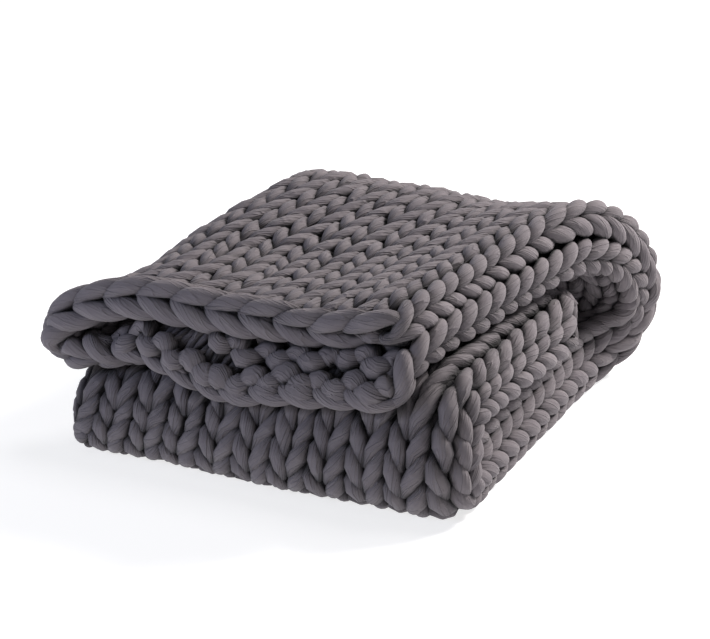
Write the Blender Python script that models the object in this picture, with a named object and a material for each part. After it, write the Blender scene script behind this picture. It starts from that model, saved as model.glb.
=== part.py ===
"""A chunky hand-knit weighted blanket, folded: one knitted sheet, 1.22 m wide and about 1.9 m long.

The sheet is folded once across its width, so that it is a pair of layers with the fold on its left side and
the two side edges on its right. The pair is then folded back and forth in its length: the top pass runs from
its end edge at the front to the back, turns down to the floor pass, comes forward, turns up at the front and
ends inside as the middle pass. Every layer is one cloth, and the layers lie a little apart.

Lengths in the tables are in centimetres, and the model is in metres.
"""

import bpy
import numpy as np

CM = 0.01
NODE = "blanket"

# The knit: the sheet's stitch columns across its width, their width, and the length of one row of stitches.
COLUMNS = 22.0
COLUMN_WIDTH = 5.5
ROW = 3.9

# The cloth of the solid: half its thickness, and how far in from an edge it starts to round off.
HALF_THICKNESS = 2.0
EDGE_ROUND = 2.2

# On the inner side of a bend the cloth is pressed to less than this share of the bend's radius.
FOLD_PRESS = 0.4

# How far the lower front bows out, right of its middle.
FRONT_BOW = 1.4

# The inner layer starts to round off no further than this from the left fold.
UNDER_DEPTH = 3.0

# The side of the pile as it is folded, before it settles: each line is one section of the pair of layers,
# in order from the end edge at the top front to the end inside.
#   row                  rows of stitches from the end edge
#   y, z                 the middle of the pair
#   outer, inner         how far the outer layer lies from that middle, and the inner layer on its other side
#   puff                 how much further out the outer layer stands along the left fold
#   sag                  how far the outer layer sags to the right of its middle
#   fold_x, fold_depth   where the left fold ends, and how far from there the outer layer starts to round off
#   fold_turn            how far out the end of the fold lies
#   outer_x, inner_x     the right edges of the two layers
#   curl                 how far the outer layer's right edge curls in
#   column               the stitch column that lies in the fold
SECTION_COLUMNS = (
    "row", "y", "z", "outer", "inner", "puff", "sag", "fold_x", "fold_depth", "fold_turn", "outer_x",
    "inner_x", "curl", "column",
)
SECTIONS = (
    # top pass
    (0.0, 0.0, 26.2, 2.65, 3.2, 2.7, 0.0, -34.2, 14.0, -0.5, 20.0, 22.5, 1.5, 10.4),
    (1.4, 5.0, 26.2, 2.65, 2.9, 2.5, 0.2, -29.0, 10.5, -0.1, 21.0, 23.7, 1.5, 10.3),
    (3.0, 11.0, 26.2, 2.65, 2.7, 2.6, 0.4, -25.2, 7.5, 0.3, 22.0, 25.0, 1.5, 10.2),
    (6.0, 22.0, 26.1, 2.6, 2.65, 2.8, 0.6, -24.2, 7.0, 0.3, 23.7, 27.0, 1.5, 10.2),
    (9.3, 34.0, 26.2, 2.6, 2.85, 1.7, 0.8, -20.3, 6.2, 0.2, 26.4, 29.2, 0.6, 10.2),
    # back turn
    (11.8, 43.0, 26.2, 2.6, 2.9, 1.0, 1.1, -17.2, 5.5, 0.0, 29.5, 31.3, -1.3, 10.3),
    (14.0, 50.6, 23.6, 2.5, 2.8, 0.4, 0.9, -19.3, 5.0, 0.0, 33.0, 33.6, -0.6, 10.6),
    (16.0, 56.2, 18.4, 2.4, 2.4, 0.0, 0.5, -22.2, 4.2, 0.0, 34.9, 34.8, 0.3, 10.8),
    (17.8, 58.9, 12.6, 2.4, 2.4, 0.0, 0.2, -25.4, 3.5, 0.0, 35.2, 34.9, 0.8, 11.0),
    (19.2, 57.6, 7.8, 2.6, 2.6, 0.0, 0.0, -28.0, 3.0, 0.0, 33.7, 33.5, 1.0, 11.0),
    (20.6, 53.0, 5.1, 2.7, 2.7, 0.0, 0.0, -29.2, 2.6, 0.0, 30.4, 30.4, 1.2, 11.0),
    # floor pass
    (22.4, 46.0, 4.62, 2.7, 2.7, 0.0, 0.0, -29.6, 2.2, 0.0, 29.4, 29.4, 1.5, 11.0),
    (26.0, 32.0, 4.6, 2.7, 2.7, 0.0, 0.0, -29.5, 1.8, 0.0, 29.4, 29.2, 1.5, 11.0),
    (30.1, 15.6, 4.6, 2.7, 2.7, 0.0, 0.0, -29.3, 1.7, 0.0, 29.5, 29.1, 1.8, 11.0),
    # front turn
    (32.1, 7.9, 4.6, 2.8, 2.65, 0.0, 0.0, -28.9, 1.7, 0.0, 29.8, 29.2, 2.2, 11.0),
    (33.1, 5.4, 5.0, 3.4, 2.6, 0.0, 0.0, -28.7, 1.7, 0.0, 30.0, 28.7, 2.4, 11.0),
    (34.75, 3.6, 6.25, 4.9, 2.45, 0.0, 0.0, -28.7, 1.7, 0.0, 30.0, 27.8, 2.7, 11.0),
    (36.1, 2.5, 8.2, 3.7, 2.2, 0.0, 0.0, -28.7, 1.7, 0.0, 29.8, 26.8, 3.0, 11.0),
    (37.05, 2.4, 10.4, 2.8, 2.1, 0.0, 0.0, -28.7, 1.7, 0.0, 29.5, 25.7, 3.4, 11.0),
    (37.85, 3.0, 12.6, 2.8, 2.1, 0.0, 0.0, -28.7, 1.7, 0.0, 29.3, 24.8, 3.8, 11.0),
    (38.6, 4.5, 14.35, 3.0, 2.2, 0.0, 0.0, -28.7, 1.7, 0.0, 29.3, 24.2, 4.2, 11.0),
    (39.35, 6.6, 15.4, 2.9, 2.4, 0.0, 0.0, -28.8, 1.7, 0.0, 29.3, 23.8, 4.6, 11.0),
    (40.1, 9.1, 15.8, 2.7, 2.6, 0.0, 0.0, -28.6, 1.7, 0.0, 29.3, 23.6, 5.0, 11.0),
    # middle pass
    (42.8, 20.0, 15.9, 2.6, 2.6, 0.0, 0.0, -28.0, 1.7, 0.0, 29.6, 23.5, 5.2, 11.0),
    (45.5, 31.0, 15.7, 2.6, 2.6, 0.0, 0.0, -27.4, 1.7, 0.0, 30.3, 23.8, 5.2, 11.0),
    (47.9, 41.6, 14.7, 2.5, 2.5, 0.0, 0.0, -26.6, 1.7, 0.0, 31.0, 24.5, 4.6, 11.0),
)
SECTION_ROWS = np.array([section[0] for section in SECTIONS])
LAST_ROW = SECTION_ROWS[-1]

# How far along the middle of the pair each section lies.
SECTION_STEPS = np.linalg.norm(np.diff(np.array(SECTIONS)[:, 1:3], axis=0), axis=1)
SECTION_RUNS = np.concatenate([[0.0], np.cumsum(SECTION_STEPS)])


def hermite(knots, values, at):
    """A smooth curve through the values, with each slope taken from the neighbours."""
    knots = np.asarray(knots, float)
    values = np.asarray(values, float)
    slopes = np.gradient(values, knots, axis=0)
    spot = np.clip(np.searchsorted(knots, at, side="right") - 1, 0, len(knots) - 2)
    width = (knots[spot + 1] - knots[spot])[:, None]
    part = (at - knots[spot])[:, None] / width
    start, end = values[spot], values[spot + 1]
    return (
        (2 * part**3 - 3 * part**2 + 1) * start
        + (part**3 - 2 * part**2 + part) * slopes[spot] * width
        + (3 * part**2 - 2 * part**3) * end
        + (part**3 - part**2) * slopes[spot + 1] * width
    )


def ramp(value, start, end):
    """0 up to the start, 1 from the end on, smooth between them."""
    part = np.clip((value - start) / (end - start), 0.0, 1.0)
    return part * part * (3.0 - 2.0 * part)


def section_at(row):
    """The table's columns at each of these rows, and the outward direction there as (y, z)."""
    inside = np.clip(row, 0.0, LAST_ROW)
    run = hermite(SECTION_ROWS, SECTION_RUNS[:, None], inside)[:, 0]
    before = hermite(SECTION_RUNS, SECTIONS, np.maximum(run - 0.2, 0.0))
    after = hermite(SECTION_RUNS, SECTIONS, np.minimum(run + 0.2, SECTION_RUNS[-1]))
    along = (after - before)[:, 1:3]
    along = along / np.linalg.norm(along, axis=1)[:, None]
    section = dict(zip(SECTION_COLUMNS, hermite(SECTION_RUNS, SECTIONS, run).T))
    past = (row - inside) * ROW
    section["y"] = section["y"] + past * along[:, 0]
    section["z"] = section["z"] + past * along[:, 1]
    return section, np.stack([-along[:, 1], along[:, 0]], axis=1)


def along_line(points, share):
    """The point of each line at this share of its length: points is (lines, points, 2)."""
    steps = np.linalg.norm(np.diff(points, axis=1), axis=2)
    run = np.concatenate([np.zeros((len(points), 1)), np.cumsum(steps, axis=1)], axis=1)
    wanted = share * run[:, -1]
    spot = np.clip((run <= wanted[:, None]).sum(axis=1) - 1, 0, points.shape[1] - 2)
    each = np.arange(len(points))
    part = (wanted - run[each, spot]) / np.maximum(steps[each, spot], 1e-9)
    return points[each, spot] + part[:, None] * (points[each, spot + 1] - points[each, spot])


def across(section, column):
    """(x, out) of one stitch column in these sections: out is the distance outwards from the pair's middle."""
    value = {name: values[:, None] for name, values in section.items()}
    turn = np.linspace(0.0, np.pi / 2, 13)[None, :]
    rise = np.linspace(0.0, 1.0, 9)[None, :]
    outer, inner, curl, fold_turn = (value[name] for name in ("outer", "inner", "curl", "fold_turn"))
    top = outer + value["puff"]
    shoulder = value["fold_x"] + value["fold_depth"]
    edge_depth = 1.6 + 0.55 * np.abs(curl)
    flat_end = value["outer_x"] - edge_depth
    upper_x = (
        value["outer_x"] - edge_depth * (1.0 - np.cos(turn)),
        flat_end + (shoulder + 16.0 - flat_end) * rise[:, 1:-1],
        shoulder + 16.0 * (1.0 - rise),
        shoulder - value["fold_depth"] * np.sin(turn),
    )
    upper_out = (
        outer - curl * (1.0 - np.sin(turn)),
        outer - value["sag"] * np.sin(np.pi * rise[:, 1:-1]) ** 2,
        outer + value["puff"] * ramp(rise, 0.0, 1.0),
        fold_turn + (top - fold_turn) * np.cos(turn),
    )
    under_depth = np.minimum(value["fold_depth"], UNDER_DEPTH)
    lower_x = (value["fold_x"] + under_depth * (1.0 - np.cos(turn)), value["inner_x"])
    lower_out = (fold_turn - (inner + fold_turn) * np.sin(turn), -inner)
    upper = np.stack([np.hstack(upper_x), np.hstack(upper_out)], axis=2)
    lower = np.stack([np.hstack(lower_x), np.hstack(lower_out)], axis=2)
    in_fold = section["column"]
    on_upper = along_line(upper, np.clip(column / in_fold, 0.0, 1.0))
    on_lower = along_line(lower, np.clip((column - in_fold) / (COLUMNS - in_fold), 0.0, 1.0))
    return np.where((column <= in_fold)[:, None], on_upper, on_lower)


def front_bend(x, y, under):
    """(y, rise) near the end edge: the mouth of the fold gapes at its left, and each layer droops to its right."""
    left = 1.0 - ramp(x, -10.0, 8.0)
    outer_droop = 0.85 * ramp(x, -1.0, 9.0) - 0.3 * ramp(x, -24.0, -10.0) * (1.0 - ramp(x, -6.0, 2.0))
    inner_droop = 1.1 * ramp(x, -15.0, 10.0) + 0.85 * left * ramp(x, -33.0, -22.0)
    droop = outer_droop + (inner_droop - outer_droop) * under
    radius = 8.5 / np.where(np.abs(droop) < 0.02, 0.02, droop)
    beyond = np.maximum(6.5 - under + 1.6 * left * under - y, 0.0)
    return y + beyond - radius * np.sin(beyond / radius), -radius * (1.0 - np.cos(beyond / radius))


def inner_lift(x, y, column):
    """How much closer to the outer layer the inner one lies, behind the left part of the mouth."""
    behind = ramp(y, -4.0, 4.0) * (1.0 - ramp(y, 16.0, 36.0))
    return 2.1 * ramp(column, 11.4, 14.0) * (1.0 - ramp(x, -14.0, 4.0)) * behind


def front_bow(x, y, z, row):
    """How far forward the foot of the front turn bows here."""
    bowed = ramp(x, -18.0, 6.0) * (1.0 - ramp(x, 22.0, 32.0)) * (1.0 - ramp(y, 6.0, 24.0))
    return FRONT_BOW * bowed * (1.0 - ramp(z, 5.0, 15.0)) * ramp(row, 22.0, 26.0)


def settle(x, y, z):
    """How much lower the pile lies here than it was folded: it is lowest along its left side, at the front."""
    most = np.clip(4.4 - 0.15 * x, 0.0, 9.0) * (1.0 - 0.75 * ramp(y, 15.0, 48.0))
    carried = 21.0 - 0.8 * np.logaddexp(0.0, (21.0 - z) / 0.8)
    return most * np.maximum(carried, 0.0) / 21.0


def middle_surface(rows, columns):
    """(points, squash) of the cloth's middle: rows run from the end edge, columns from the outer right edge."""
    points = np.empty((len(rows), len(columns), 3))
    squash = np.empty((len(rows), len(columns)))
    for j, column in enumerate(columns):
        row = rows - 1.3 * ramp(column, 13.2, 17.2)
        section, outward = section_at(row)
        x, out = across(section, column).T
        y = section["y"] + out * outward[:, 0]
        z = section["z"] + out * outward[:, 1]
        bent, rise = front_bend(x, y, ramp(column, 10.6, 13.2))
        y = y - front_bow(x, y, z, row)
        near_end = row < 4.0
        y = np.where(near_end, bent, y)
        z = np.where(near_end, z + rise, z)
        z = np.where(row < 12.0, z + inner_lift(x, y, column), z)
        squash[:, j] = 1.0 - (settle(x, y, z + 1.0) - settle(x, y, z - 1.0)) / 2.0
        points[:, j] = np.stack([x, y, z - settle(x, y, z)], axis=1)
    return points, squash


def normals_at(rows, columns):
    """The outward unit normals of the cloth's middle."""
    along = middle_surface(rows + 0.03, columns)[0] - middle_surface(rows - 0.03, columns)[0]
    aside = middle_surface(rows, columns + 0.02)[0] - middle_surface(rows, columns - 0.02)[0]
    normals = np.cross(along, aside)
    return normals / np.linalg.norm(normals, axis=2)[..., None]


def bends_at(rows, columns, middle, normals):
    """How sharply the cloth bends towards its inner and its outer face: each is one over the radius."""
    bends = []
    for row_step, column_step in ((0.45, 0.0), (0.0, 0.28)):
        before = middle_surface(rows - row_step, columns - column_step)[0]
        after = middle_surface(rows + row_step, columns + column_step)[0]
        turning = ((2.0 * middle - before - after) * normals).sum(axis=2)
        bends.append(turning / (((after - before) / 2.0) ** 2).sum(axis=2))
    return np.maximum(*bends), -np.minimum(*bends)


def pressed(half, bend):
    """Half the thickness where a bend this sharp presses the cloth together on this side."""
    return half / (1.0 + (half * np.maximum(bend, 0.0) / FOLD_PRESS) ** 4) ** 0.25


def edge_share(distance):
    """The share of the thickness that is left this near to an edge."""
    part = np.clip(distance / EDGE_ROUND, 0.0, 1.0)
    return 0.35 + 0.65 * np.sqrt(1.0 - (1.0 - part) ** 2)


def row_places():
    """The rows at which the solid has points: closer together in the turns."""
    rim = np.array([0.0, 0.08, 0.26, 0.6])
    inside = (
        np.arange(1.3, 10.5, 1.15),
        np.arange(11.2, 21.5, 0.75),
        np.arange(22.5, 31.1, 1.6),
        np.arange(31.9, 40.4, 0.52),
        np.arange(41.5, LAST_ROW - 0.9, 1.5),
    )
    return np.concatenate([rim, *inside, LAST_ROW - rim[::-1]])


def column_places():
    """The stitch columns at which the solid has points: closer together at the fold and at both edges."""
    return np.concatenate(
        [
            (0.0, 0.06, 0.18, 0.4, 0.8, 1.3, 2.0),
            np.arange(3.4, 8.0, 1.5),
            (8.3, 9.0, 9.5, 9.9, 10.15, 10.37, 10.58, 10.79, 11.0, 11.21, 11.43, 11.7, 12.3, 13.1),
            np.arange(14.2, 20.5, 1.6),
            (21.2, 21.6, 21.84, 21.95, 22.0),
        ]
    )


def cloth_skins():
    """The outer and the inner face of the cloth, as two grids of points."""
    rows = row_places()
    columns = column_places()
    middle, squash = middle_surface(rows, columns)
    from_end = np.minimum(rows, rows[-1] - rows) * ROW
    from_side = np.minimum(columns, COLUMNS - columns) * COLUMN_WIDTH
    share = edge_share(from_end)[:, None] * edge_share(from_side)[None, :]
    half = HALF_THICKNESS * squash * share
    normals = normals_at(rows, columns)
    inward, outward = bends_at(rows, columns, middle, normals)
    outer_half, inner_half = pressed(half, outward), pressed(half, inward)
    return middle + normals * outer_half[..., None], middle - normals * inner_half[..., None]


def closed_faces(rows, columns):
    """The faces of both skins and of the rim that joins them: the inner skin's points follow the outer's."""
    far = rows * columns
    grid = np.arange(far).reshape(rows, columns)
    a, b, c, d = grid[:-1, :-1], grid[1:, :-1], grid[1:, 1:], grid[:-1, 1:]
    outer = np.stack([a, b, c, d], axis=-1).reshape(-1, 4)
    rim = np.concatenate([grid[0, :-1], grid[:-1, -1], grid[-1, :0:-1], grid[:0:-1, 0]])
    following = np.roll(rim, -1)
    around = np.stack([following, following + far, rim + far, rim], axis=1)
    return np.concatenate([outer, outer[:, ::-1] + far, around])


def resting(points):
    """The points with the lowest cloth pressed flat on the floor, centred on it."""
    points = points.copy()
    points[:, 2] = np.maximum(points[:, 2], 0.0)
    low, high = points.min(axis=0), points.max(axis=0)
    points[:, :2] -= (low + high)[:2] / 2
    return points


def fabric_material():
    material = bpy.data.materials.new("charcoal_knit")
    material.use_nodes = True
    shader = material.node_tree.nodes["Principled BSDF"]
    shader.inputs["Base Color"].default_value = (0.115, 0.105, 0.108, 1.0)
    shader.inputs["Roughness"].default_value = 0.92
    return material


def build_blanket():
    outer, inner = cloth_skins()
    rows, columns = outer.shape[:2]
    points = np.concatenate([outer.reshape(-1, 3), inner.reshape(-1, 3)])
    mesh = bpy.data.meshes.new(NODE)
    mesh.from_pydata((resting(points) * CM).tolist(), [], closed_faces(rows, columns).tolist())
    mesh.update()
    blanket = bpy.data.objects.new(NODE, mesh)
    blanket.data.materials.append(fabric_material())
    bpy.context.scene.collection.objects.link(blanket)


def clear_scene():
    for old in list(bpy.data.objects):
        bpy.data.objects.remove(old, do_unlink=True)


clear_scene()
build_blanket()
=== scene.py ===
"""How the folded weighted blanket looks: its yarn, loop by loop, on the same folded surface as the solid.

The sheet is stockinette: every loop of yarn is two legs on the outer side, which read as a V, and a head and
a foot on the inner side. The yarn runs through each row of loops and turns back at the side edges. A braid of
the same yarn finishes each of the four edges.

Lengths are in centimetres unless they are said to be in columns or rows of stitches. The model, its lights
and its camera are in metres.
"""

import math

import bpy
import numpy as np
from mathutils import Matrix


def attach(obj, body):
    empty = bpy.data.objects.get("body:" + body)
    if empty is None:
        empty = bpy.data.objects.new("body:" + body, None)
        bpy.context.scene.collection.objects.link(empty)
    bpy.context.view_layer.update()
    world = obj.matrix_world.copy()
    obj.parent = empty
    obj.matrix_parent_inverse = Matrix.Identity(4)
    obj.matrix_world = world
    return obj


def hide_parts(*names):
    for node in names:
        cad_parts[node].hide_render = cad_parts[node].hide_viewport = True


CM = 0.01

# The knit, as in the solid: the sheet's stitch columns, the length of a row and the width of a column.
COLUMNS = 22.0
ROW = 3.9
COLUMN_WIDTH = 5.5

# The solid is centred on the floor: this point of the table's plane is its origin.
CENTRE = (0.59, 29.55)

# ---- the folded surface, as in the solid ----

# The ranges that ramp is given are places on the pile: x, y or z, or stitch columns or rows.

# The side of the pile as it is folded, before it settles: each line is one section of the pair of layers,
# in order from the end edge at the top front to the end inside.
#   row                  rows of stitches from the end edge
#   y, z                 the middle of the pair
#   outer, inner         how far the outer layer lies from that middle, and the inner layer on its other side
#   puff                 how much further out the outer layer stands along the left fold
#   sag                  how far the outer layer sags to the right of its middle
#   fold_x, fold_depth   where the left fold ends, and how far from there the outer layer starts to round off
#   fold_turn            how far out the end of the fold lies
#   outer_x, inner_x     the right edges of the two layers
#   curl                 how far the outer layer's right edge curls in
#   column               the stitch column that lies in the fold
SECTION_COLUMNS = (
    "row", "y", "z", "outer", "inner", "puff", "sag", "fold_x", "fold_depth", "fold_turn", "outer_x",
    "inner_x", "curl", "column",
)
SECTIONS = (
    # top pass
    (0.0, 0.0, 26.2, 2.65, 3.2, 2.7, 0.0, -34.2, 14.0, -0.5, 20.0, 22.5, 1.5, 10.4),
    (1.4, 5.0, 26.2, 2.65, 2.9, 2.5, 0.2, -29.0, 10.5, -0.1, 21.0, 23.7, 1.5, 10.3),
    (3.0, 11.0, 26.2, 2.65, 2.7, 2.6, 0.4, -25.2, 7.5, 0.3, 22.0, 25.0, 1.5, 10.2),
    (6.0, 22.0, 26.1, 2.6, 2.65, 2.8, 0.6, -24.2, 7.0, 0.3, 23.7, 27.0, 1.5, 10.2),
    (9.3, 34.0, 26.2, 2.6, 2.85, 1.7, 0.8, -20.3, 6.2, 0.2, 26.4, 29.2, 0.6, 10.2),
    # back turn
    (11.8, 43.0, 26.2, 2.6, 2.9, 1.0, 1.1, -17.2, 5.5, 0.0, 29.5, 31.3, -1.3, 10.3),
    (14.0, 50.6, 23.6, 2.5, 2.8, 0.4, 0.9, -19.3, 5.0, 0.0, 33.0, 33.6, -0.6, 10.6),
    (16.0, 56.2, 18.4, 2.4, 2.4, 0.0, 0.5, -22.2, 4.2, 0.0, 34.9, 34.8, 0.3, 10.8),
    (17.8, 58.9, 12.6, 2.4, 2.4, 0.0, 0.2, -25.4, 3.5, 0.0, 35.2, 34.9, 0.8, 11.0),
    (19.2, 57.6, 7.8, 2.6, 2.6, 0.0, 0.0, -28.0, 3.0, 0.0, 33.7, 33.5, 1.0, 11.0),
    (20.6, 53.0, 5.1, 2.7, 2.7, 0.0, 0.0, -29.2, 2.6, 0.0, 30.4, 30.4, 1.2, 11.0),
    # floor pass
    (22.4, 46.0, 4.62, 2.7, 2.7, 0.0, 0.0, -29.6, 2.2, 0.0, 29.4, 29.4, 1.5, 11.0),
    (26.0, 32.0, 4.6, 2.7, 2.7, 0.0, 0.0, -29.5, 1.8, 0.0, 29.4, 29.2, 1.5, 11.0),
    (30.1, 15.6, 4.6, 2.7, 2.7, 0.0, 0.0, -29.3, 1.7, 0.0, 29.5, 29.1, 1.8, 11.0),
    # front turn
    (32.1, 7.9, 4.6, 2.8, 2.65, 0.0, 0.0, -28.9, 1.7, 0.0, 29.8, 29.2, 2.2, 11.0),
    (33.1, 5.4, 5.0, 3.4, 2.6, 0.0, 0.0, -28.7, 1.7, 0.0, 30.0, 28.7, 2.4, 11.0),
    (34.75, 3.6, 6.25, 4.9, 2.45, 0.0, 0.0, -28.7, 1.7, 0.0, 30.0, 27.8, 2.7, 11.0),
    (36.1, 2.5, 8.2, 3.7, 2.2, 0.0, 0.0, -28.7, 1.7, 0.0, 29.8, 26.8, 3.0, 11.0),
    (37.05, 2.4, 10.4, 2.8, 2.1, 0.0, 0.0, -28.7, 1.7, 0.0, 29.5, 25.7, 3.4, 11.0),
    (37.85, 3.0, 12.6, 2.8, 2.1, 0.0, 0.0, -28.7, 1.7, 0.0, 29.3, 24.8, 3.8, 11.0),
    (38.6, 4.5, 14.35, 3.0, 2.2, 0.0, 0.0, -28.7, 1.7, 0.0, 29.3, 24.2, 4.2, 11.0),
    (39.35, 6.6, 15.4, 2.9, 2.4, 0.0, 0.0, -28.8, 1.7, 0.0, 29.3, 23.8, 4.6, 11.0),
    (40.1, 9.1, 15.8, 2.7, 2.6, 0.0, 0.0, -28.6, 1.7, 0.0, 29.3, 23.6, 5.0, 11.0),
    # middle pass
    (42.8, 20.0, 15.9, 2.6, 2.6, 0.0, 0.0, -28.0, 1.7, 0.0, 29.6, 23.5, 5.2, 11.0),
    (45.5, 31.0, 15.7, 2.6, 2.6, 0.0, 0.0, -27.4, 1.7, 0.0, 30.3, 23.8, 5.2, 11.0),
    (47.9, 41.6, 14.7, 2.5, 2.5, 0.0, 0.0, -26.6, 1.7, 0.0, 31.0, 24.5, 4.6, 11.0),
)
SECTION_ROWS = np.array([section[0] for section in SECTIONS])
LAST_ROW = SECTION_ROWS[-1]

# How far along the middle of the pair each section lies.
SECTION_STEPS = np.linalg.norm(np.diff(np.array(SECTIONS)[:, 1:3], axis=0), axis=1)
SECTION_RUNS = np.concatenate([[0.0], np.cumsum(SECTION_STEPS)])

# The slope of the pair is read this far to each side of a point.
SLOPE_STEP = 0.2

# A section's outline: the points in a quarter turn and in a straight run, how far the outer layer's right
# edge rounds off, flat and for each centimetre of its curl, over how much of its width the puff fades, and
# the most that the inner layer rounds off at the left fold.
TURN_POINTS = 13
RUN_POINTS = 9
EDGE_ROUND = 1.6
EDGE_ROUND_CURL = 0.55
PUFF_WIDTH = 16.0
UNDER_DEPTH = 3.0

# The columns over which the outer layer becomes the inner one, and how many rows further out the inner layer
# lies at the end edge.
UNDER_COLUMNS = (10.6, 13.2)
INNER_AHEAD = 1.3
INNER_AHEAD_COLUMNS = (13.2, 17.2)

# The bend of both layers at the mouth of the fold: in how many rows from the end edge it acts, how far behind
# the edge it starts, its radius where a layer droops by 1, and the least droop that counts.
BEND_ROWS = 4.0
BEND_START = 6.5
BEND_RADIUS = 8.5
LEAST_DROOP = 0.02

# How much each layer droops to the right of the mouth, how much the outer one rises left of its middle, how
# much the inner one droops at its gaping left, and how much further back it starts to there.
OUTER_DROOP = 0.85
INNER_DROOP = 1.1
OUTER_RISE = 0.3
GAPE_DROOP = 0.85
GAPE_START = 1.6

# How far the inner layer is lifted behind the left part of the mouth, and in how many rows.
INNER_LIFT = 2.1
INNER_LIFT_ROWS = 12.0

# How far the lower front bows out, right of its middle.
FRONT_BOW = 1.4

# How the pile settles: how far at the middle, how much more for each centimetre to the left, the most, the
# share of it that is gone at the back, and the height above which it no longer grows, with the height over
# which that changes.
SETTLE = 4.4
SETTLE_SLOPE = 0.15
SETTLE_MOST = 9.0
SETTLE_GONE = 0.75
SETTLE_HEIGHT = 21.0
SETTLE_SOFT = 0.8


def hermite(knots, values, at):
    """A smooth curve through the values, with each slope taken from the neighbours."""
    knots = np.asarray(knots, float)
    values = np.asarray(values, float)
    slopes = np.gradient(values, knots, axis=0)
    spot = np.clip(np.searchsorted(knots, at, side="right") - 1, 0, len(knots) - 2)
    width = (knots[spot + 1] - knots[spot])[:, None]
    part = (at - knots[spot])[:, None] / width
    start, end = values[spot], values[spot + 1]
    return (
        (2 * part**3 - 3 * part**2 + 1) * start
        + (part**3 - 2 * part**2 + part) * slopes[spot] * width
        + (3 * part**2 - 2 * part**3) * end
        + (part**3 - part**2) * slopes[spot + 1] * width
    )


def ramp(value, start, end):
    """0 up to the start, 1 from the end on, smooth between them."""
    part = np.clip((value - start) / (end - start), 0.0, 1.0)
    return part * part * (3.0 - 2.0 * part)


def section_at(row):
    """The table's columns at each of these rows, and the outward direction there as (y, z)."""
    inside = np.clip(row, 0.0, LAST_ROW)
    run = hermite(SECTION_ROWS, SECTION_RUNS[:, None], inside)[:, 0]
    before = hermite(SECTION_RUNS, SECTIONS, np.maximum(run - SLOPE_STEP, 0.0))
    after = hermite(SECTION_RUNS, SECTIONS, np.minimum(run + SLOPE_STEP, SECTION_RUNS[-1]))
    along = (after - before)[:, 1:3]
    along = along / np.linalg.norm(along, axis=1)[:, None]
    section = dict(zip(SECTION_COLUMNS, hermite(SECTION_RUNS, SECTIONS, run).T))
    past = (row - inside) * ROW
    section["y"] = section["y"] + past * along[:, 0]
    section["z"] = section["z"] + past * along[:, 1]
    return section, np.stack([-along[:, 1], along[:, 0]], axis=1)


def along_line(points, share):
    """The point of each line at this share of its length: points is (lines, points, 2)."""
    steps = np.linalg.norm(np.diff(points, axis=1), axis=2)
    run = np.concatenate([np.zeros((len(points), 1)), np.cumsum(steps, axis=1)], axis=1)
    wanted = share * run[:, -1]
    spot = np.clip((run <= wanted[:, None]).sum(axis=1) - 1, 0, points.shape[1] - 2)
    each = np.arange(len(points))
    part = (wanted - run[each, spot]) / np.maximum(steps[each, spot], 1e-9)
    return points[each, spot] + part[:, None] * (points[each, spot + 1] - points[each, spot])


def across(section, column):
    """(x, out) of one stitch column in these sections: out is its distance from the pair's middle."""
    value = {name: values[:, None] for name, values in section.items()}
    turn = np.linspace(0.0, np.pi / 2, TURN_POINTS)[None, :]
    rise = np.linspace(0.0, 1.0, RUN_POINTS)[None, :]
    outer, inner, curl, fold_turn = (value[name] for name in ("outer", "inner", "curl", "fold_turn"))
    top = outer + value["puff"]
    shoulder = value["fold_x"] + value["fold_depth"]
    edge_depth = EDGE_ROUND + EDGE_ROUND_CURL * np.abs(curl)
    flat_end = value["outer_x"] - edge_depth
    upper_x = (
        value["outer_x"] - edge_depth * (1.0 - np.cos(turn)),
        flat_end + (shoulder + PUFF_WIDTH - flat_end) * rise[:, 1:-1],
        shoulder + PUFF_WIDTH * (1.0 - rise),
        shoulder - value["fold_depth"] * np.sin(turn),
    )
    upper_out = (
        outer - curl * (1.0 - np.sin(turn)),
        outer - value["sag"] * np.sin(np.pi * rise[:, 1:-1]) ** 2,
        outer + value["puff"] * ramp(rise, 0.0, 1.0),
        fold_turn + (top - fold_turn) * np.cos(turn),
    )
    under_depth = np.minimum(value["fold_depth"], UNDER_DEPTH)
    lower_x = (value["fold_x"] + under_depth * (1.0 - np.cos(turn)), value["inner_x"])
    lower_out = (fold_turn - (inner + fold_turn) * np.sin(turn), -inner)
    upper = np.stack([np.hstack(upper_x), np.hstack(upper_out)], axis=2)
    lower = np.stack([np.hstack(lower_x), np.hstack(lower_out)], axis=2)
    in_fold = section["column"]
    on_upper = along_line(upper, np.clip(column / in_fold, 0.0, 1.0))
    on_lower = along_line(lower, np.clip((column - in_fold) / (COLUMNS - in_fold), 0.0, 1.0))
    return np.where((column <= in_fold)[:, None], on_upper, on_lower)


def front_bend(x, y, under):
    """(y, rise) near the end edge: the mouth gapes at its left, and the layers droop right of that."""
    left = 1.0 - ramp(x, -10.0, 8.0)
    outer_rise = OUTER_RISE * ramp(x, -24.0, -10.0) * (1.0 - ramp(x, -6.0, 2.0))
    outer_droop = OUTER_DROOP * ramp(x, -1.0, 9.0) - outer_rise
    inner_droop = INNER_DROOP * ramp(x, -15.0, 10.0) + GAPE_DROOP * left * ramp(x, -33.0, -22.0)
    droop = outer_droop + (inner_droop - outer_droop) * under
    radius = BEND_RADIUS / np.where(np.abs(droop) < LEAST_DROOP, LEAST_DROOP, droop)
    beyond = np.maximum(BEND_START - under + GAPE_START * left * under - y, 0.0)
    return y + beyond - radius * np.sin(beyond / radius), -radius * (1.0 - np.cos(beyond / radius))


def inner_lift(x, y, column):
    """How much closer to the outer layer the inner one lies, behind the left part of the mouth."""
    behind = ramp(y, -4.0, 4.0) * (1.0 - ramp(y, 16.0, 36.0))
    return INNER_LIFT * ramp(column, 11.4, 14.0) * (1.0 - ramp(x, -14.0, 4.0)) * behind


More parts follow.
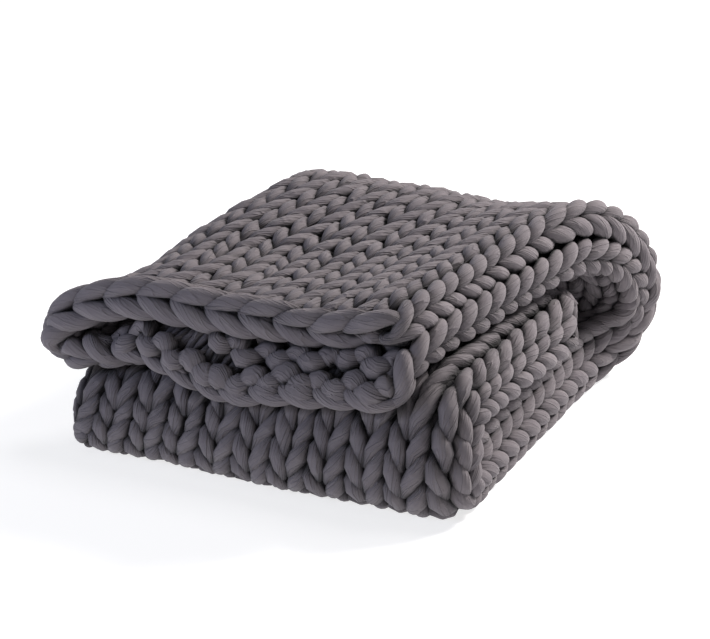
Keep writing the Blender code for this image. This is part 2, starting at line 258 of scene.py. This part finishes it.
def front_bow(x, y, z, row):
    """How far forward the foot of the front turn bows here."""
    bowed = ramp(x, -18.0, 6.0) * (1.0 - ramp(x, 22.0, 32.0)) * (1.0 - ramp(y, 6.0, 24.0))
    return FRONT_BOW * bowed * (1.0 - ramp(z, 5.0, 15.0)) * ramp(row, 22.0, 26.0)


def settle(x, y, z):
    """How much lower the pile lies here than as folded: it is lowest along its left side, at the front."""
    most = np.clip(SETTLE - SETTLE_SLOPE * x, 0.0, SETTLE_MOST) * (1.0 - SETTLE_GONE * ramp(y, 15.0, 48.0))
    carried = SETTLE_HEIGHT - SETTLE_SOFT * np.logaddexp(0.0, (SETTLE_HEIGHT - z) / SETTLE_SOFT)
    return most * np.maximum(carried, 0.0) / SETTLE_HEIGHT


def middle_surface(rows, columns):
    """(points, squash) of the cloth's middle: rows from the end edge, columns from the outer right edge.

    The squash is the share of its height that the pile keeps there as it settles.
    """
    points = np.empty((len(rows), len(columns), 3))
    squash = np.empty((len(rows), len(columns)))
    for j, column in enumerate(columns):
        row = rows - INNER_AHEAD * ramp(column, *INNER_AHEAD_COLUMNS)
        section, outward = section_at(row)
        x, out = across(section, column).T
        y = section["y"] + out * outward[:, 0]
        z = section["z"] + out * outward[:, 1]
        bent, rise = front_bend(x, y, ramp(column, *UNDER_COLUMNS))
        y = y - front_bow(x, y, z, row)
        bends = row < BEND_ROWS
        y = np.where(bends, bent, y)
        z = np.where(bends, z + rise, z)
        z = np.where(row < INNER_LIFT_ROWS, z + inner_lift(x, y, column), z)
        squash[:, j] = 1.0 - (settle(x, y, z + 1.0) - settle(x, y, z - 1.0)) / 2.0
        points[:, j] = np.stack([x, y, z - settle(x, y, z)], axis=1)
    return points, squash


# ---- the yarn ----

# One loop: how far its legs lean, in columns, its height in rows, how far the yarn swings to each side of the
# cloth, how flat the tops of its swings are, and how much closer together its rings lie in its two bends.
LEAN = 0.26
LOOP_HEIGHT = 2.4
SWING = 1.02
FLATNESS = 0.45
BEND_STEPS = 0.22

# The yarn: half its width along the cloth and half its thickness through it, the shares of both that it loses
# where it is pinched between its neighbours, how sharply, and those that it gains on the cloth's inner side.
HALF_WIDTH = 1.35
HALF_THICK = 1.3
PINCH = 0.55
PINCH_THICK = 0.35 * PINCH
PINCH_POWER = 0.9
PURL_FAT = 0.45
PURL_THICK = 0.2

# How uneven the yarn is, with a new random value once or twice in each loop or link. The legs' lean and the
# loop's height change as shares of themselves, the column, row and height move the yarn, and the last two are
# shares of its girth.
LOOP_SEED = 11
LINK_SEED = 5
ONCE = 1.0
TWICE = 0.5
UNEVEN_LEAN = 0.2
UNEVEN_TALL = 0.1
UNEVEN_COLUMN = 0.05
UNEVEN_ROW = 0.11
UNEVEN_HEIGHT = 0.16
UNEVEN_WIDTH = 0.1
UNEVEN_THICK = 0.08

# How far the inner layer's yarn rises behind the lower lip of the mouth. The first two ranges are the rows
# over which that comes and goes, and the other two the columns.
LIP_LIFT = 2.6
LIP_RANGES = ((-0.4, 1.2), (8.0, 4.0), (12.0, 14.0), (18.0, 15.5))

# The rows of loops: how many, and in rows and columns of stitches where the first lies, how far from the side
# edges they start, and how near the ends of the sheet the yarn may come.
ROWS_OF_LOOPS = 49
FIRST_ROW = -0.3
EDGE_LOOP = 0.5
END_INSET = 0.45

# The turn of the yarn at the end of a row of loops: how far out it swings, and the share of girth it loses.
TURN_OUT = 0.6
TURN_THIN = 0.25

# The rings of points: how many a stitch, a link of a braid and a turn have, and the points in each.
LOOP_RINGS = 21
LINK_RINGS = 50
TURN_RINGS = 10
AROUND = 16

# How the yarn's width follows that of the columns, as a range of shares and a power, and the share of its
# thickness that it would keep even where the pile had settled flat.
NARROW_RANGE = (0.6, 1.1)
NARROW_POWER = 0.8
STIFF = 0.35

# The shares of the way from the cloth's middle to its face over which the painted shadow on the yarn fades
# out, and how far from a side edge, in columns, and from an end, in rows, it goes from open, with no painted
# shadow, to covered.
SUNK_RANGE = (0.25, 0.9)
OPEN_COLUMNS = (0.0, 0.6)
OPEN_ROWS = (0.2, 1.2)

# Each ring on a path of yarn has a row, column, height, half width, half thickness and pinch. These are the
# places of those that are read or changed by themselves.
HEIGHT = 2
GIRTH = slice(3, 5)
PINCHED = 5

# The pieces: each name, with the first row of loops after it.
PIECES = (
    ("knit_top_pass", 10),
    ("knit_back_turn", 20),
    ("knit_floor_pass", 30),
    ("knit_front_turn", 40),
    ("knit_middle_pass", ROWS_OF_LOOPS),
)


class Surface:
    """The cloth's middle, outward normal, squash and column width, at any row and column."""

    MIDDLE = slice(0, 3)
    NORMAL = slice(3, 6)
    ASIDE = slice(6, 9)
    SQUASH = 9
    WIDTH = 10

    def __init__(self, row_step=0.125, column_step=0.0625, beyond=3.0):
        self.rows = np.arange(-beyond, LAST_ROW + beyond + 0.01, row_step)
        self.columns = np.arange(0.0, COLUMNS + 0.01, column_step)
        points, squash = middle_surface(self.rows, self.columns)
        along = np.gradient(points, row_step, axis=0)
        aside = np.gradient(points, column_step, axis=1)
        normals = np.cross(along, aside)
        normals /= np.linalg.norm(normals, axis=2)[..., None]
        width = np.linalg.norm(aside, axis=2)
        self.grid = np.concatenate([points, normals, aside, squash[..., None], width[..., None]], axis=2)

    def sample(self, row, column):
        """The grid's values at each place, taken from the four corners round it."""
        i = (row - self.rows[0]) / (self.rows[1] - self.rows[0])
        j = column / (self.columns[1] - self.columns[0])
        i0 = np.clip(i.astype(int), 0, len(self.rows) - 2)
        j0 = np.clip(j.astype(int), 0, len(self.columns) - 2)
        di, dj = (i - i0)[:, None], (j - j0)[:, None]
        g = self.grid
        return (
            g[i0, j0] * (1 - di) * (1 - dj)
            + g[i0 + 1, j0] * di * (1 - dj)
            + g[i0, j0 + 1] * (1 - di) * dj
            + g[i0 + 1, j0 + 1] * di * dj
        )

    def at(self, row, column, firm=0.0, held=None):
        """Middle, normal, squash and column width. The last three are read this far or more from a side edge.

        With a held column, the middle goes straight on from it to both sides, without the curl of the edge.
        """
        inside = np.clip(column, 0.0, COLUMNS) if held is None else np.full(len(column), held)
        middle = self.sample(row, inside)[:, self.MIDDLE]
        value = self.sample(row, np.clip(column, firm, COLUMNS - firm))
        normal = value[:, self.NORMAL] / np.linalg.norm(value[:, self.NORMAL], axis=1)[:, None]
        point = middle + value[:, self.ASIDE] * (column - inside)[:, None]
        return point, normal, value[:, self.SQUASH], value[:, self.WIDTH]


def wander(random, places, step, amount):
    """Smooth random numbers at these places along the yarn, with a new value every step."""
    knots = random.uniform(-1.0, 1.0, int(places.max() / step) + 4)
    spot = (places + step) / step
    i = np.clip(spot.astype(int), 0, len(knots) - 2)
    part = spot - i
    part = part * part * (3.0 - 2.0 * part)
    return amount * (knots[i] * (1.0 - part) + knots[i + 1] * part)


def lip_lift(row, column):
    """How much nearer the outer layer the yarn lies here, behind the lower lip of the mouth."""
    first_rows, last_rows, first_columns, last_columns = LIP_RANGES
    by_row = LIP_LIFT * ramp(row, *first_rows) * ramp(row, *last_rows)
    return by_row * ramp(column, *first_columns) * ramp(column, *last_columns)


def row_of_loops(random, row, places):
    """The yarn's row, column, height, half width, half thickness and pinch through one row of loops."""
    turn = 2.0 * np.pi * places
    lean = LEAN * (1.0 + wander(random, places, ONCE, UNEVEN_LEAN))
    tall = LOOP_HEIGHT / 2.0 * (1.0 + wander(random, places, ONCE, UNEVEN_TALL))
    column = places + lean * np.sin(2.0 * turn) + wander(random, places, TWICE, UNEVEN_COLUMN)
    at_row = row - tall * np.cos(turn) + wander(random, places, TWICE, UNEVEN_ROW)
    swing = np.cos(2.0 * turn)
    height = -SWING * swing * np.sqrt((1.0 + FLATNESS) / (swing**2 + FLATNESS))
    height += wander(random, places, TWICE, UNEVEN_HEIGHT)
    pinch = 1.0 - ((1.0 + np.cos(4.0 * turn)) / 2.0) ** PINCH_POWER
    purl = np.maximum(swing, 0.0)
    fat = 1.0 - PINCH * pinch + PURL_FAT * purl + wander(random, places, TWICE, UNEVEN_WIDTH)
    thick = 1.0 - PINCH_THICK * pinch + PURL_THICK * purl + wander(random, places, TWICE, UNEVEN_THICK)
    height -= lip_lift(at_row, column)
    at_row = np.clip(at_row, END_INSET, LAST_ROW - END_INSET)
    return np.stack([at_row, column, height, HALF_WIDTH * fat, HALF_THICK * thick, pinch], axis=1)


def side_turn(before, after):
    """The yarn from the end of one row of loops to the start of the next, behind the braid of that side."""
    share = (np.arange(TURN_RINGS) + 1.0) / (TURN_RINGS + 1.0)
    path = before + (after - before) * ((1.0 - np.cos(np.pi * share)) / 2.0)[:, None]
    path[:, HEIGHT] += TURN_OUT * np.sin(np.pi * share)
    path[:, GIRTH] *= 1.0 - TURN_THIN * np.sin(np.pi * share)[:, None]
    return path


def knit_rows():
    """The path of the yarn through each row of loops, with the turn to the next row at its end."""
    random = np.random.default_rng(LOOP_SEED)
    places = np.arange(EDGE_LOOP, COLUMNS - EDGE_LOOP + 0.5 / LOOP_RINGS, 1.0 / LOOP_RINGS)
    places -= BEND_STEPS * np.sin(4.0 * np.pi * places) / (4.0 * np.pi)
    spacing = (LAST_ROW - 2.0 * FIRST_ROW) / (ROWS_OF_LOOPS - 1)
    rows = []
    for i in range(ROWS_OF_LOOPS):
        path = row_of_loops(random, FIRST_ROW + i * spacing, places)
        rows.append(path if i % 2 == 0 else path[::-1])
    for i in range(ROWS_OF_LOOPS - 1):
        rows[i] = np.concatenate([rows[i], side_turn(rows[i][-1], rows[i + 1][0])])
    return rows


# One link of the braid that finishes each edge: how far along the edge the yarn lies, in links, how far from
# the cloth's middle, how far out of the edge, and its half width. The yarn goes out along one leg, round
# behind the next link, back along the other leg, and on behind.
LINK = (
    (0.0, 0.1, -1.1, 0.9),
    (0.1, 0.35, 0.3, 1.05),
    (0.5, 1.1, 0.6, 1.35),
    (0.95, 1.5, 0.25, 1.4),
    (1.4, 1.5, -0.6, 1.05),
    (1.6, 0.2, -1.1, 0.9),
    (1.55, -1.7, -0.5, 1.1),
    (1.2, -2.15, 0.5, 1.45),
    (0.75, -1.45, 1.0, 1.6),
    (0.3, -0.5, 0.8, 1.25),
    (0.0, 0.0, -0.3, 1.0),
    (0.1, -0.3, -1.4, 0.9),
    (0.6, -0.4, -1.8, 0.9),
)

# How uneven the links are: along the edge, through the cloth and out of the edge, and as a share of width.
UNEVEN_ALONG = 0.04
UNEVEN_THROUGH = 0.12
UNEVEN_OUT = 0.1
UNEVEN_HALF = 0.07

# The braid's last half link tapers to this share of its width. A link of this half width is fully pinched,
# and one that is wider by the range isn't. The yarn is thinner than it is wide.
TAPER = 0.4
TAPER_LINKS = 0.5
PINCHED_HALF = 0.9
PINCHED_RANGE = 0.5
LINK_THICK = 0.9

# The other braids are smaller than that of the front end, and that one narrows by this share over these
# columns, where it goes over into the lower lip of the mouth.
BRAID_SMALL = 0.9
LIP_NARROWS = 0.25
LIP_COLUMNS = (11.0, 14.0)

# How far from a side edge, in columns, the cloth's slope is read for a braid, and how far in from it the
# braid of a side starts to go straight on.
BRAID_FIRM = 1.7
HELD_COLUMN = 0.2

# The four braids: the number of links, where the first starts and how long each is, in columns along an end
# and in rows along a side, how far in from the edge they lie, in centimetres, and the held column, if any.
BRAID_COLUMNS = ("name", "links", "start", "pitch", "inset", "held")
BRAIDS = (
    ("braid_front_end", 22, 0.15, 0.965, 1.6, None),
    ("braid_inner_end", 22, 0.15, 0.965, 1.6, None),
    ("braid_outer_side", 47, 0.0, 1.0, 1.1, HELD_COLUMN),
    ("braid_inner_side", 47, 0.25, 0.995, 1.5, COLUMNS - HELD_COLUMN),
)


def links_path(random, links):
    """Along, height, depth, half width and pinch of the yarn through this many links."""
    knots = np.arange(links * len(LINK) - 2) / len(LINK)
    shape = np.array([LINK[i % len(LINK)] for i in range(len(knots))])
    shape[:, 0] += np.floor(np.arange(len(knots)) / len(LINK))
    places = np.arange(0.0, knots[-1], 1.0 / LINK_RINGS)
    along, height, depth, half = hermite(knots, shape, places).T
    along = along + wander(random, places, TWICE, UNEVEN_ALONG)
    height = height + wander(random, places, TWICE, UNEVEN_THROUGH)
    depth = depth + wander(random, places, TWICE, UNEVEN_OUT)
    half = half * (1.0 + wander(random, places, TWICE, UNEVEN_HALF))
    half = half * (TAPER + (1.0 - TAPER) * ramp(places[-1] - places, 0.0, TAPER_LINKS))
    pinch = 1.0 - np.clip((half - PINCHED_HALF) / PINCHED_RANGE, 0.0, 1.0)
    return along, height, depth, half, pinch


def edge_place(name, at, inwards):
    """(row, column) of the places this far along the edge of this braid, and this far in from it."""
    if name == "braid_front_end":
        return inwards / ROW, COLUMNS - at
    if name == "braid_inner_end":
        return LAST_ROW - inwards / ROW, COLUMNS - at
    if name == "braid_outer_side":
        return at, inwards / COLUMN_WIDTH
    return at, COLUMNS - inwards / COLUMN_WIDTH


def braid_path(random, braid):
    """The path of the yarn through one braid, with the same columns as a row of loops."""
    along, height, depth, half, pinch = links_path(random, braid["links"])
    at = braid["start"] + braid["pitch"] * along
    row, column = edge_place(braid["name"], at, braid["inset"] - depth)
    if braid["name"] == "braid_front_end":
        small = 1.0 - LIP_NARROWS * ramp(column, *LIP_COLUMNS)
    else:
        small = np.full(len(at), BRAID_SMALL)
    thick = LINK_THICK * half * small
    return np.stack([row, column, height * small, half * small, thick, pinch], axis=1)


def flattened(squash):
    """The share of its thickness that the yarn keeps where the pile has settled to this share."""
    return STIFF + (1.0 - STIFF) * squash


def tube(surface, path, firm=0.0, held=None):
    """(points, lengths, painted shadow) of the yarn round this path: one ring of points for each of its
    places.
    """
    row, column, height, half_width, half_thick, _ = path.T
    middle, normal, squash, width = surface.at(row, column, firm, held)
    centre = middle + normal * (height * squash)[:, None]
    tangent = np.gradient(centre, axis=0)
    steps = np.linalg.norm(np.diff(centre, axis=0), axis=1)
    lengths = np.concatenate([[0.0], np.cumsum(steps)])
    tangent /= np.linalg.norm(tangent, axis=1)[:, None]
    up = normal - tangent * (normal * tangent).sum(axis=1)[:, None]
    up /= np.linalg.norm(up, axis=1)[:, None]
    aside = np.cross(tangent, up)
    narrow = np.clip(width / COLUMN_WIDTH, *NARROW_RANGE) ** NARROW_POWER
    angle = 2.0 * np.pi * np.arange(AROUND) / AROUND
    sideways = (half_width * narrow)[:, None] * np.cos(angle)
    upwards = (half_thick * flattened(squash))[:, None] * np.sin(angle)
    points = centre[:, None] + aside[:, None] * sideways[..., None] + up[:, None] * upwards[..., None]
    points[..., 2] = np.maximum(points[..., 2], 0.0)
    out = ((points - middle[:, None]) * normal[:, None]).sum(axis=2)
    return points, lengths, sunk(row, column, out, squash)


def sunk(row, column, out, squash):
    """Painted shadow by how deep in the cloth the yarn's skin lies: 0 on its face, 1 between the strands."""
    face = (SWING + HALF_THICK) * flattened(squash)
    edge = np.minimum(column, COLUMNS - column)
    end = np.minimum(row, LAST_ROW - row)
    covered = ramp(edge, *OPEN_COLUMNS) * ramp(end, *OPEN_ROWS)
    return (1.0 - ramp(np.abs(out) / face[:, None], *SUNK_RANGE)) * covered[:, None]


# The grid of cells that tells where yarn lies: its low corner, its number of cells and their size, and at
# which shares of the way from ring to ring, and from a ring's centre to its skin, the yarn fills them.
GRID_LOW = (-40.0, -10.0, -3.0)
GRID_CELLS = (205, 200, 103)
CELL = 0.4
BETWEEN_RINGS = (0.0, 0.25, 0.5, 0.75)
FROM_CENTRE = (0.15, 0.5, 0.85)

# How far off its skin other yarn is looked for, to paint shadow on the yarn, and the shares of filled places
# from which that painted shadow is slight and full.
CROWD_REACH = (0.3, 0.7, 1.1)
CROWD_RANGE = (0.15, 0.6)


def cells_at(points):
    """The cell of the grid in which each point lies."""
    index = ((points - GRID_LOW) / CELL).astype(int).reshape(-1, 3)
    return tuple(np.clip(index, 0, np.array(GRID_CELLS) - 1).T)


def yarn_cells(tubes):
    """The grid, 1 where yarn lies and 0 in the open, smoothed over the neighbouring cells."""
    grid = np.zeros(GRID_CELLS)
    for points in tubes:
        for part in BETWEEN_RINGS:
            rings = points[:-1] * (1.0 - part) + points[1:] * part
            centre = rings.mean(axis=1)[:, None]
            for share in FROM_CENTRE:
                grid[cells_at(centre + (rings - centre) * share)] = 1.0
    for axis in range(3):
        grid = (np.roll(grid, 1, axis) + 2.0 * grid + np.roll(grid, -1, axis)) / 4.0
    return grid


def crowding(grid, points):
    """How much yarn lies just off each point of the skin, from 0 in the open to 1 between strands, as painted
    shadow.
    """
    out = points - points.mean(axis=1)[:, None]
    out /= np.linalg.norm(out, axis=2)[..., None] + 1e-6
    filled = sum(grid[cells_at(points + out * reach)] for reach in CROWD_REACH) / len(CROWD_REACH)
    return ramp(filled.reshape(points.shape[:2]), *CROWD_RANGE)


# ---- the pieces ----

# The yarn's map counts decimetres along it, and its grain turns round it by this many radians a centimetre.
MAP_LENGTH = 10.0
TWIST = 0.35


def yarn_piece(name, points, lengths, painted_shade, pinch, material):
    """One closed length of yarn, with a map along and around it, and its grain, pinch and painted shadow."""
    rings = len(points)
    grid = np.arange(rings * AROUND).reshape(rings, AROUND)
    following = np.roll(grid, -1, axis=1)
    faces = np.stack([grid[:-1], grid[1:], following[1:], following[:-1]], axis=-1).reshape(-1, 4)
    placed = points.reshape(-1, 3) * CM
    placed[:, 0] -= CENTRE[0] * CM
    placed[:, 1] -= CENTRE[1] * CM
    mesh = bpy.data.meshes.new(name)
    ends = [grid[0].tolist(), grid[-1, ::-1].tolist()]
    mesh.from_pydata(placed.tolist(), [], faces[:, ::-1].tolist() + ends)
    mesh.update()
    mesh.polygons.foreach_set("use_smooth", np.ones(len(mesh.polygons), bool))
    along = np.repeat(lengths / MAP_LENGTH, AROUND)
    around = np.tile(np.arange(AROUND) / AROUND, rings)
    add_map(mesh, along, around, len(faces))
    angle = 2.0 * np.pi * around + TWIST * along * MAP_LENGTH
    add_attribute(mesh, "around", np.stack([np.cos(angle), np.sin(angle), along * MAP_LENGTH], axis=1))
    add_attribute(mesh, "pinch", np.repeat(pinch, AROUND))
    # The depth attribute carries the painted shadow on each point.
    add_attribute(mesh, "depth", painted_shade)
    piece = bpy.data.objects.new(name, mesh)
    piece.data.materials.append(material)
    bpy.context.scene.collection.objects.link(piece)
    return piece


def add_map(mesh, along, around, sides):
    """The map: U is the length along the yarn in decimetres, V the turn around it."""
    corner = np.empty(len(mesh.loops), np.int32)
    mesh.loops.foreach_get("vertex_index", corner)
    values = np.stack([along[corner], around[corner]], axis=1)
    turns = values[: 4 * sides, 1].reshape(-1, 4)
    wraps = turns.max(axis=1) - turns.min(axis=1) > 0.5
    turns[wraps[:, None] & (turns < 0.5)] += 1.0
    values[: 4 * sides, 1] = turns.ravel()
    uv = mesh.uv_layers.new(name="yarn")
    uv.data.foreach_set("uv", values.astype(np.float32).ravel())


def add_attribute(mesh, name, values):
    """One number for each point, or three where the values have columns."""
    vectors = values.size > len(mesh.vertices)
    made = mesh.attributes.new(name, "FLOAT_VECTOR" if vectors else "FLOAT", "POINT")
    made.data.foreach_set("vector" if vectors else "value", values.astype(np.float32).ravel())


# ---- the material ----

# The yarn's colours: the dye where it is darkest and lightest, the shares of the noise where those lie, and
# the painted shadow that stands for the shade between the strands.
DYE_DARK = (0.13, 0.115, 0.13, 1.0)
DYE_LIGHT = (0.196, 0.175, 0.187, 1.0)
DYE_RANGE = (0.25, 0.75)
PAINTED_SHADOW = (0.014, 0.012, 0.015, 1.0)

# The scales of the noises over the yarn: twice round it, and along it.
FOLD_SCALE = (0.9, 0.9, 0.16)
CREASE_SCALE = (2.2, 2.2, 0.22)
FIBRE_SCALE = (26.0, 26.0, 14.0)
SHADE_SCALE = (0.8, 0.8, 0.1)

# How wide the folds and the creases are, as a range of the noise, and how softly their edges end.
FOLD_WIDTH = 0.04
CREASE_WIDTH = 0.08
GROOVE_SOFT = 0.4

# How deep the creases and fibres are beside the folds, how deep all of it is where the yarn is full, and the
# height of the folds in metres.
CREASE_SHARE = 0.5
FIBRE_SHARE = 0.12
FULL_SHARE = 0.3
RELIEF = 0.0045
RELIEF_STRENGTH = 0.8

# How much of the shade of the dye comes from the fibres, and how the pinch and the depth bring the painted
# shadow into the dye's colour.
FIBRE_TONE = 0.25
PINCH_SHADOW = 0.3
SHADOW_GAIN = 1.1


def link(tree, *pairs):
    """Links each pair of an output and an input."""
    for start, end in pairs:
        tree.links.new(start, end)


def math_node(tree, operation, *values):
    """The result of one operation on numbers and outputs."""
    node = tree.nodes.new("ShaderNodeMath")
    node.operation = operation
    for socket, value in zip(node.inputs, values):
        if isinstance(value, (int, float)):
            socket.default_value = value
        else:
            tree.links.new(value, socket)
    return node.outputs[0]


def attribute(tree, name, output):
    """One of the values that the mesh carries at each point."""
    node = tree.nodes.new("ShaderNodeAttribute")
    node.attribute_name = name
    return node.outputs[output]


def yarn_noise(tree, vector, scale, detail=2.0):
    """Noise over the yarn, with its own size in each of the three directions."""
    mapping = tree.nodes.new("ShaderNodeMapping")
    mapping.inputs["Scale"].default_value = scale
    noise = tree.nodes.new("ShaderNodeTexNoise")
    noise.inputs["Scale"].default_value = 1.0
    noise.inputs["Detail"].default_value = detail
    link(tree, (vector, mapping.inputs["Vector"]), (mapping.outputs[0], noise.inputs["Vector"]))
    return noise.outputs["Fac"]


def grooves(tree, vector, scale, width):
    """0 in narrow grooves that wander along the yarn, 1 between them."""
    noise = yarn_noise(tree, vector, scale, 0.0)
    off = math_node(tree, "ABSOLUTE", math_node(tree, "SUBTRACT", noise, 0.5))
    return math_node(tree, "SMOOTH_MIN", math_node(tree, "MULTIPLY", off, 1.0 / width), 1.0, GROOVE_SOFT)


def add_relief(tree, shader, vector, pinch, fibres):
    """Grooves along the yarn, most where it is pinched, and the fibres of the cotton."""
    folds = grooves(tree, vector, FOLD_SCALE, FOLD_WIDTH)
    creases = grooves(tree, vector, CREASE_SCALE, CREASE_WIDTH)
    tight = math_node(tree, "MULTIPLY_ADD", pinch, 1.0 - FULL_SHARE, FULL_SHARE)
    height = math_node(tree, "MULTIPLY_ADD", creases, CREASE_SHARE, folds)
    height = math_node(tree, "MULTIPLY", height, tight)
    height = math_node(tree, "MULTIPLY_ADD", fibres, FIBRE_SHARE, height)
    bump = tree.nodes.new("ShaderNodeBump")
    bump.inputs["Strength"].default_value = RELIEF_STRENGTH
    bump.inputs["Distance"].default_value = RELIEF
    link(tree, (height, bump.inputs["Height"]), (bump.outputs[0], shader.inputs["Normal"]))


def dyed(tree, vector, fibres):
    """The colour of slightly uneven dye."""
    shades = yarn_noise(tree, vector, SHADE_SCALE)
    most = math_node(tree, "MULTIPLY", shades, 1.0 - FIBRE_TONE)
    tone = math_node(tree, "MULTIPLY_ADD", fibres, FIBRE_TONE, most)
    dye = tree.nodes.new("ShaderNodeValToRGB")
    for element, position, colour in zip(dye.color_ramp.elements, DYE_RANGE, (DYE_DARK, DYE_LIGHT)):
        element.position = position
        element.color = colour
    link(tree, (tone, dye.inputs["Fac"]))
    return dye.outputs[0]


def add_colour(tree, shader, colour, pinch):
    """The dye's colour, with painted shadow deep between the strands and where the yarn is pinched."""
    depth = attribute(tree, "depth", "Fac")
    shut = math_node(tree, "MULTIPLY_ADD", pinch, PINCH_SHADOW, depth)
    shut = math_node(tree, "MULTIPLY", shut, SHADOW_GAIN)
    shut.node.use_clamp = True
    mix = tree.nodes.new("ShaderNodeMix")
    mix.data_type = "RGBA"
    lit, dark = [socket for socket in mix.inputs if socket.type == "RGBA"]
    mixed = next(socket for socket in mix.outputs if socket.type == "RGBA")
    # The dark input is the painted shadow colour, mixed in by the depth and the pinch.
    dark.default_value = PAINTED_SHADOW
    link(tree, (shut, mix.inputs["Factor"]), (colour, lit), (mixed, shader.inputs["Base Color"]))


def yarn_material():
    """Charcoal cotton tube yarn."""
    material = bpy.data.materials.new("charcoal_tube_yarn")
    material.use_nodes = True
    tree = material.node_tree
    shader = tree.nodes["Principled BSDF"]
    shader.inputs["Roughness"].default_value = 0.82
    shader.inputs["Sheen Weight"].default_value = 0.1
    shader.inputs["Sheen Roughness"].default_value = 0.5
    shader.inputs["Specular IOR Level"].default_value = 0.3
    vector = attribute(tree, "around", "Vector")
    pinch = attribute(tree, "pinch", "Fac")
    fibres = yarn_noise(tree, vector, FIBRE_SCALE)
    add_relief(tree, shader, vector, pinch, fibres)
    add_colour(tree, shader, dyed(tree, vector, fibres), pinch)
    return material


# ---- the studio ----

# The square lights, which all face the blanket: the name, place, side, power and colour of each.
LIGHTS = (
    ("key", (1.6, 1.9, 1.9), 0.7, 142.0, (1.0, 0.95, 0.915)),
    ("top", (0.3, 0.8, 3.2), 1.2, 25.0, (1.0, 0.98, 0.97)),
    ("fill", (-2.6, -2.6, 1.4), 1.4, 46.0, (0.64, 0.73, 1.0)),
)
LIGHT_TARGET = (0.0, 0.0, 0.12)
WORLD_LIGHT = 0.2

# The floor glows, so that it stays white all round the pile.
FLOOR_SIZE = 24.0
FLOOR_COLOUR = (0.5, 0.5, 0.51, 1.0)
FLOOR_GLOW = 0.72

# The camera: which way from the blanket it stands, how high and how far, the point of the pile that it faces,
# in the table's centimetres, and its lens and film in millimetres.
AZIMUTH = math.radians(24.59)
ELEVATION = math.radians(22.06)
DISTANCE = 4.4
TARGET = (0.56, 30.0, 13.52)
LENS = 153.4
FILM = 36.0


def floor():
    """The white floor under the blanket."""
    bpy.ops.mesh.primitive_plane_add(size=FLOOR_SIZE, location=(0.0, 0.0, 0.0))
    plane = bpy.context.object
    plane.name = "floor"
    material = bpy.data.materials.new("white_floor")
    material.use_nodes = True
    shader = material.node_tree.nodes["Principled BSDF"]
    shader.inputs["Base Color"].default_value = FLOOR_COLOUR
    shader.inputs["Roughness"].default_value = 0.9
    shader.inputs["Emission Color"].default_value = (1.0, 1.0, 1.0, 1.0)
    shader.inputs["Emission Strength"].default_value = FLOOR_GLOW
    plane.data.materials.append(material)


def area_light(name, place, side, power, colour):
    """A square light of this side that faces the blanket."""
    data = bpy.data.lights.new(name, "AREA")
    data.size = side
    data.energy = power
    data.color = colour
    light = bpy.data.objects.new(name, data)
    light.location = place
    direction = np.array(LIGHT_TARGET) - np.array(place)
    pitch = math.atan2(math.hypot(direction[0], direction[1]), -direction[2])
    light.rotation_euler = (pitch, 0.0, math.atan2(direction[1], direction[0]) - math.pi / 2)
    bpy.context.scene.collection.objects.link(light)


def studio():
    """The lights, in a pale room."""
    world = bpy.data.worlds.new("studio")
    world.use_nodes = True
    background = world.node_tree.nodes["Background"]
    background.inputs["Color"].default_value = (1.0, 1.0, 1.0, 1.0)
    background.inputs["Strength"].default_value = WORLD_LIGHT
    bpy.context.scene.world = world
    for values in LIGHTS:
        area_light(*values)
    bpy.context.scene.view_settings.view_transform = "Standard"


def camera():
    """A long lens, from the front right and above."""
    back = (
        math.sin(AZIMUTH) * math.cos(ELEVATION),
        -math.cos(AZIMUTH) * math.cos(ELEVATION),
        math.sin(ELEVATION),
    )
    target = np.array([TARGET[0] - CENTRE[0], TARGET[1] - CENTRE[1], TARGET[2]]) * CM
    data = bpy.data.cameras.new("camera")
    data.lens = LENS
    data.sensor_width = FILM
    view = bpy.data.objects.new("camera", data)
    view.location = target + np.array(back) * DISTANCE
    view.rotation_euler = (math.pi / 2 - ELEVATION, 0.0, AZIMUTH)
    bpy.context.scene.collection.objects.link(view)
    bpy.context.scene.camera = view


# ---- the blanket ----


def yarn_runs():
    """(name, path, points, lengths, painted shadow) of each piece of yarn."""
    surface = Surface()
    rows = knit_rows()
    runs = []
    first = 0
    for name, after in PIECES:
        path = np.concatenate(rows[first:after])
        runs.append((name, path, *tube(surface, path)))
        first = after
    random = np.random.default_rng(LINK_SEED)
    for values in BRAIDS:
        braid = dict(zip(BRAID_COLUMNS, values))
        path = braid_path(random, braid)
        runs.append((braid["name"], path, *tube(surface, path, BRAID_FIRM, braid["held"])))
    return runs


def build_knit():
    """Every piece of yarn, with painted shadow where it lies deep in the cloth or close to other yarn."""
    material = yarn_material()
    runs = yarn_runs()
    grid = yarn_cells([points for _, _, points, _, _ in runs])
    for name, path, points, lengths, painted_shade in runs:
        # The painted shadow on each point: the greater of that for its depth in the cloth and for the yarn
        # close by.
        dark = np.maximum(painted_shade, crowding(grid, points))
        declare(yarn_piece(name, points, lengths, dark, path[:, PINCHED], material))


def declare(piece):
    """Attaches this piece of the blanket's knit to the root body, and hides the solid's blanket."""
    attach(piece, "root")
    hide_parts("blanket")


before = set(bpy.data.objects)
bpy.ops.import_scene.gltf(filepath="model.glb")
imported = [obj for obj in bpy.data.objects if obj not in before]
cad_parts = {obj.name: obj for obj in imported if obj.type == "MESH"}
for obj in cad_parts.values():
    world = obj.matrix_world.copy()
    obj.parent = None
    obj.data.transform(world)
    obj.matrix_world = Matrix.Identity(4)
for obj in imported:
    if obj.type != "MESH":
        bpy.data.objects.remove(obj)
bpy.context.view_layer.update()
camera()
studio()
floor()
build_knit()
